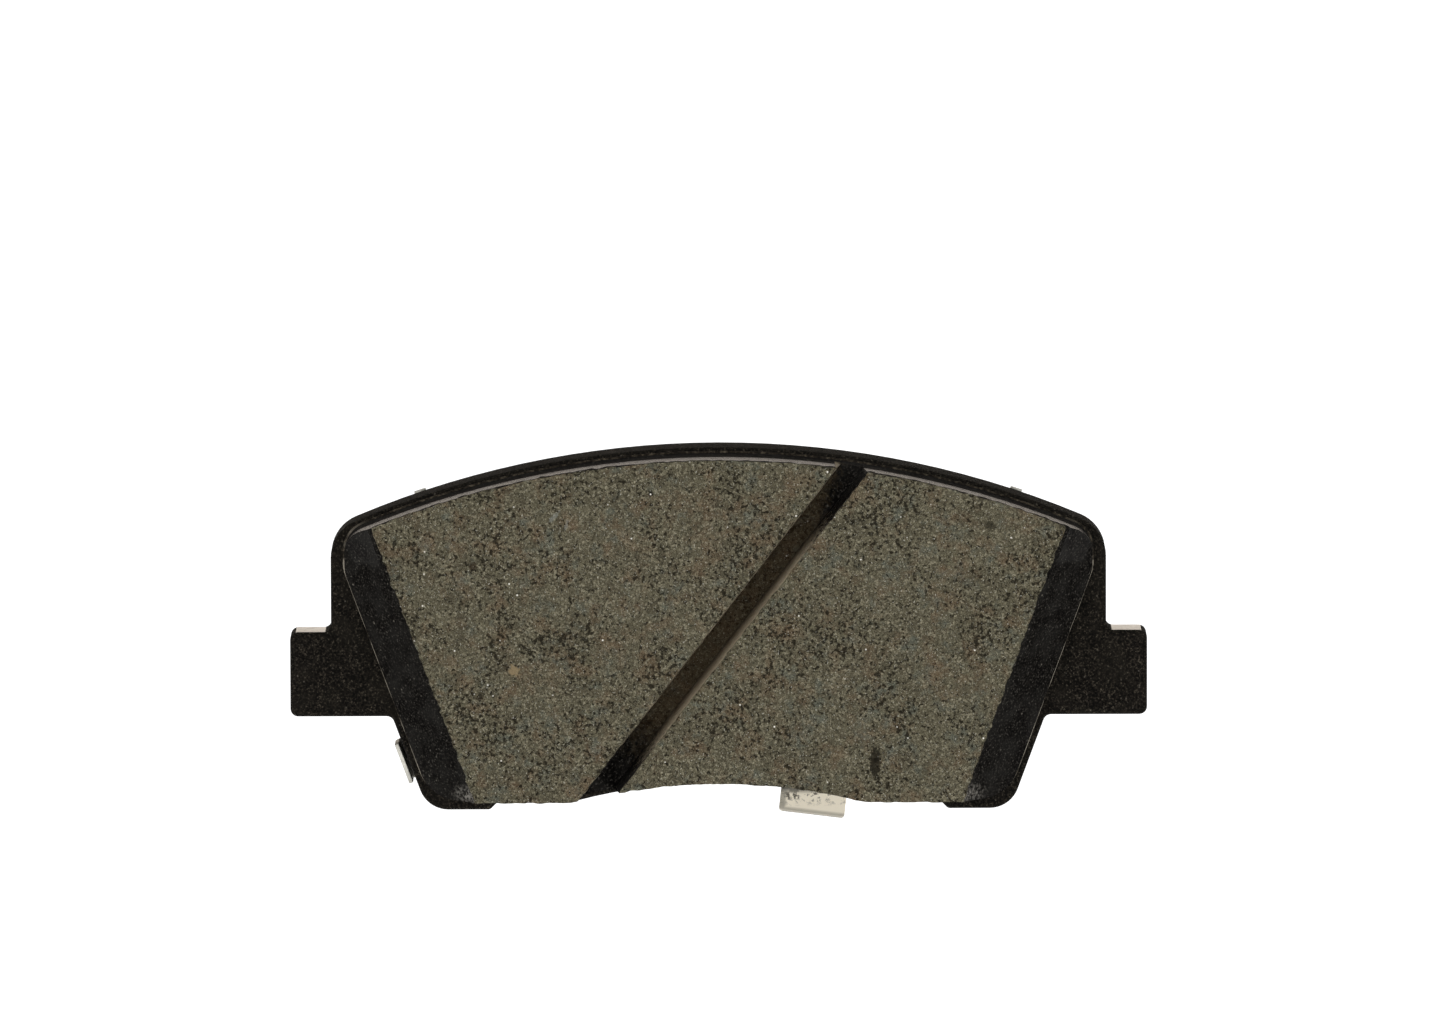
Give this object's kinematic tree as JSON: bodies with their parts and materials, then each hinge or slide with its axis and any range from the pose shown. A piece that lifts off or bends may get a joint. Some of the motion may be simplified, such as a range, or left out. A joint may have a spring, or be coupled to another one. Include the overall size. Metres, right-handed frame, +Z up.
{
  "type": "disc brake pad",
  "caption": "Crown-topped disc brake pad: black eared backing plate, chamfered friction lining with one slanting slot, and a clip-on steel shim behind.",
  "frame": {"origin": "middle of the cover shim's outer face, on the pad's centre line and half way up the backing plate", "axes": "+Z up towards the crown, +X along the pad to the right as seen from the rotor, +Y out of the shim face towards the caliper piston, so the friction face looks along -Y"},
  "size_m": [0.0998, 0.015, 0.0442],
  "materials": {
    "coated_plate": "black powder coat over stamped steel, satin, slightly grainy",
    "friction_compound": "ground resin-bonded friction compound, matt, speckled grey-brown",
    "underlayer": "dense moulded resin compound, matt dark brown under the coating",
    "bond_resin": "cured brown adhesive film",
    "shim_rubber": "thin nitrile rubber coat, matt black",
    "shim_steel": "galvanised sheet steel, bright with a warm tint"
  },
  "bodies": {
    "root": {"backing_plate": "coated_plate", "bond_film": "bond_resin", "underlayer": "underlayer", "friction_block": "friction_compound", "shim_adhesive": "bond_resin", "shim_inner_rubber": "shim_rubber", "shim_core": "shim_steel", "shim_outer_rubber": "shim_rubber", "cover_shim": "shim_steel"}
  },
  "joints": []
}
